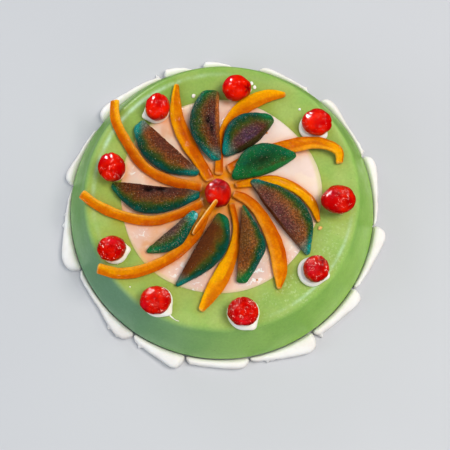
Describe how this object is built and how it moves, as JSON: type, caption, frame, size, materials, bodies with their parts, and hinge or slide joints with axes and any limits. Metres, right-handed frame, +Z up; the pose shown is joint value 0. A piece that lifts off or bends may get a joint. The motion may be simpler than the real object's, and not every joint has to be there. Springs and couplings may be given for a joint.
{
  "type": "cassata cake",
  "caption": "Round iced cassata under green almond paste, topped with a pinwheel of candied peel and fruit and a ring of candied cherries, with white piping round the foot.",
  "frame": {"origin": "centre of the cake's flat underside, on its axis", "axes": "+Z up along the cake's axis; -Y is the side nearest the viewer"},
  "size_m": [0.2702, 0.2679, 0.069],
  "materials": {
    "almond_paste": "satin, slightly sticky",
    "poured_icing": "glossy",
    "white_icing": "satin",
    "orange_peel": "glossy, translucent",
    "green_fruit": "sugared, half gloss",
    "candied_cherry": "glossy, translucent",
    "cream": "satin"
  },
  "bodies": {
    "root": {"cake_body": "almond_paste", "icing_disc": "poured_icing", "border_01": "white_icing", "border_02": "white_icing", "border_03": "white_icing", "border_04": "white_icing", "border_05": "white_icing", "border_06": "white_icing", "border_07": "white_icing", "border_08": "white_icing", "border_09": "white_icing", "border_10": "white_icing", "border_11": "white_icing", "border_12": "white_icing", "border_13": "white_icing", "border_14": "white_icing", "peel_1": "orange_peel", "peel_2": "orange_peel", "peel_3": "orange_peel", "peel_4": "orange_peel", "peel_5": "orange_peel", "peel_6": "orange_peel", "peel_7": "orange_peel", "peel_8": "orange_peel", "peel_9": "orange_peel", "peel_10": "orange_peel", "wedge_1": "green_fruit", "wedge_2": "green_fruit", "wedge_3": "green_fruit", "wedge_4": "green_fruit", "wedge_5": "green_fruit", "wedge_6": "green_fruit", "wedge_7": "green_fruit", "wedge_8": "green_fruit", "wedge_9": "green_fruit", "cherry_centre": "candied_cherry", "cherry_1": "candied_cherry", "cherry_2": "candied_cherry", "cherry_3": "candied_cherry", "cherry_4": "candied_cherry", "cherry_5": "candied_cherry", "cherry_6": "candied_cherry", "cherry_7": "candied_cherry", "cherry_8": "candied_cherry", "cherry_9": "candied_cherry", "cream_drop_1": "cream", "cream_drop_2": "cream", "cream_drop_3": "cream", "cream_drop_4": "cream", "cream_drop_5": "cream", "cream_drop_6": "cream", "cream_drop_7": "cream", "cream_drop_8": "cream", "cream_drop_9": "cream"}
  },
  "joints": []
}
